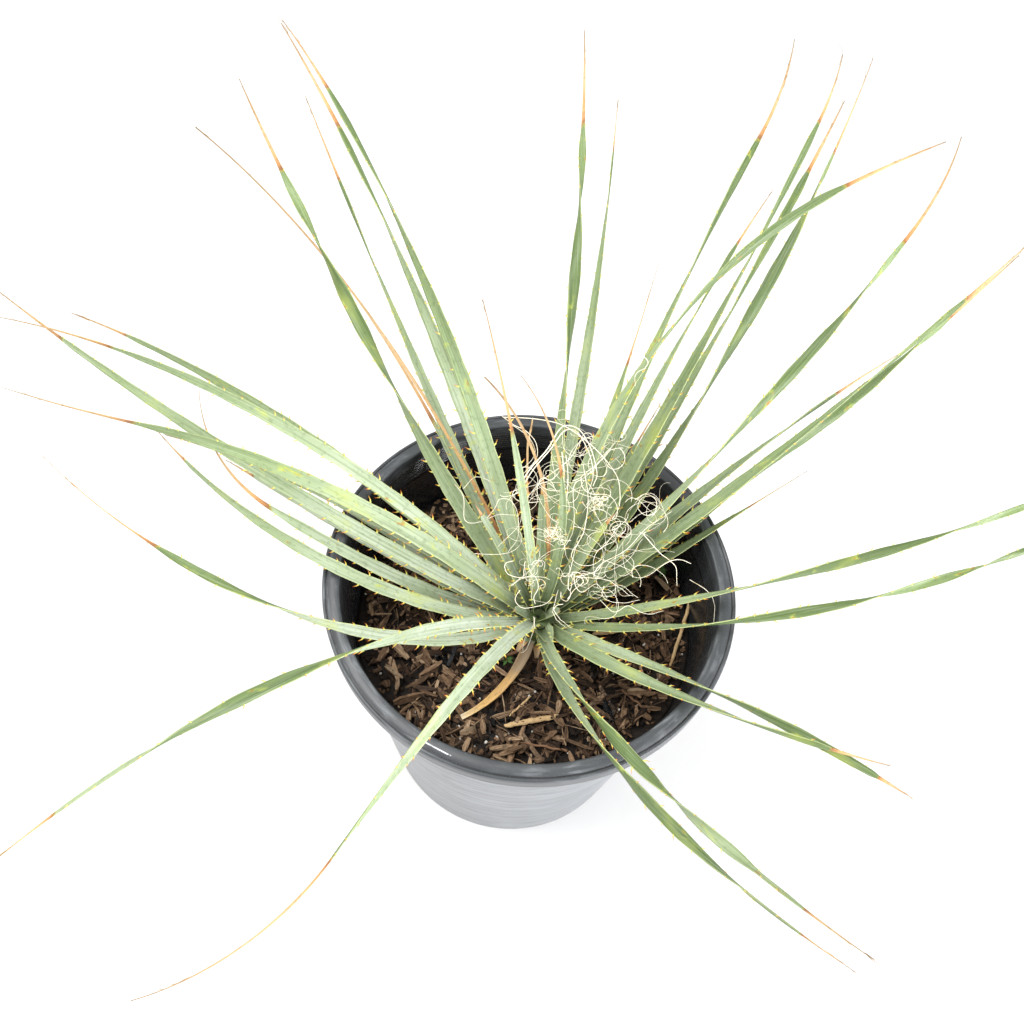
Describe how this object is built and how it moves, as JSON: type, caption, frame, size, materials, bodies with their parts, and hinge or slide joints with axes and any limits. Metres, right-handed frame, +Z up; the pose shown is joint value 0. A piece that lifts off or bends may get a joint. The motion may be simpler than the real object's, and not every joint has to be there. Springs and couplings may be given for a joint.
{
  "type": "potted desert spoon",
  "caption": "Rosette of long, narrow, toothed and twisting leaves with dried tips, growing from a short crown in bark mulch that fills a tapered nursery pot with a flat rim.",
  "frame": {"origin": "middle of the pot's flat underside", "axes": "+Z up; -Y is the side of the pot nearest the viewer of the picture, +X to that viewer's right"},
  "size_m": [0.7994, 0.7386, 0.512],
  "materials": {
    "black_plastic": "satin, scuffed to blue-grey on the rim",
    "bark_soil": "rough, fibrous, damp bark mulch",
    "crown_bark": "rough, old leaf bases",
    "leaf_green": "waxy grey-green, finely streaked, with pale margins and orange-brown teeth",
    "dry_leaf": "dry, straw to orange-brown"
  },
  "bodies": {
    "root": {"pot": "black_plastic", "soil": "bark_soil", "crown": "crown_bark", "leaf_01": "leaf_green", "leaf_02": "leaf_green", "leaf_03": "leaf_green", "leaf_04": "leaf_green", "leaf_05": "dry_leaf", "leaf_06": "leaf_green", "leaf_07": "leaf_green", "leaf_08": "leaf_green", "leaf_09": "dry_leaf", "leaf_10": "leaf_green", "leaf_11": "leaf_green", "leaf_12": "leaf_green", "leaf_13": "leaf_green", "leaf_14": "leaf_green", "leaf_15": "leaf_green", "leaf_16": "leaf_green", "leaf_17": "leaf_green", "leaf_18": "leaf_green", "leaf_19": "leaf_green", "leaf_20": "leaf_green", "leaf_21": "leaf_green", "leaf_22": "leaf_green", "leaf_23": "leaf_green", "leaf_24": "leaf_green", "leaf_25": "leaf_green", "leaf_26": "leaf_green", "leaf_27": "leaf_green", "leaf_28": "leaf_green", "leaf_29": "leaf_green", "leaf_30": "leaf_green", "leaf_31": "leaf_green", "leaf_32": "leaf_green", "leaf_33": "leaf_green", "leaf_34": "leaf_green", "leaf_35": "leaf_green", "leaf_36": "leaf_green", "leaf_37": "leaf_green", "leaf_38": "leaf_green", "leaf_39": "leaf_green", "leaf_40": "leaf_green", "leaf_41": "leaf_green", "leaf_42": "leaf_green", "leaf_43": "leaf_green", "leaf_44": "leaf_green", "leaf_45": "leaf_green", "leaf_46": "leaf_green", "dead_leaf": "dry_leaf"}
  },
  "joints": []
}
